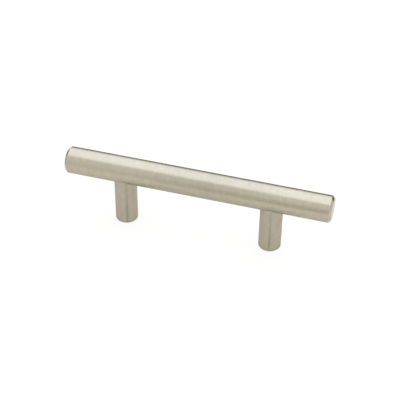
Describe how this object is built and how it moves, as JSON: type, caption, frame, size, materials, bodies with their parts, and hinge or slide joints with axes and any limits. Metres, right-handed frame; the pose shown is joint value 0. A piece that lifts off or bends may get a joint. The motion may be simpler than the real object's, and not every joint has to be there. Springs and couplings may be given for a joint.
{
  "type": "t bar cabinet pull",
  "caption": "Straight round bar with chamfered ends, carried on round posts with tapped feet, for opening a cabinet door or drawer by hand.",
  "frame": {"origin": "on the mounting surface, midway between the centres of the posts' feet", "axes": "+X along the bar; +Z from the mounting surface to the bar; Y across the bar"},
  "size_m": [0.137, 0.0138, 0.0381],
  "materials": {
    "satin_nickel": "fine brushed round the rod, satin nickel plate on steel",
    "zinc_plated_steel": "bright zinc plate on steel"
  },
  "bodies": {
    "root": {"bar": "satin_nickel", "left_post": "satin_nickel", "right_post": "satin_nickel", "left_stud": "zinc_plated_steel", "right_stud": "zinc_plated_steel"}
  },
  "joints": []
}
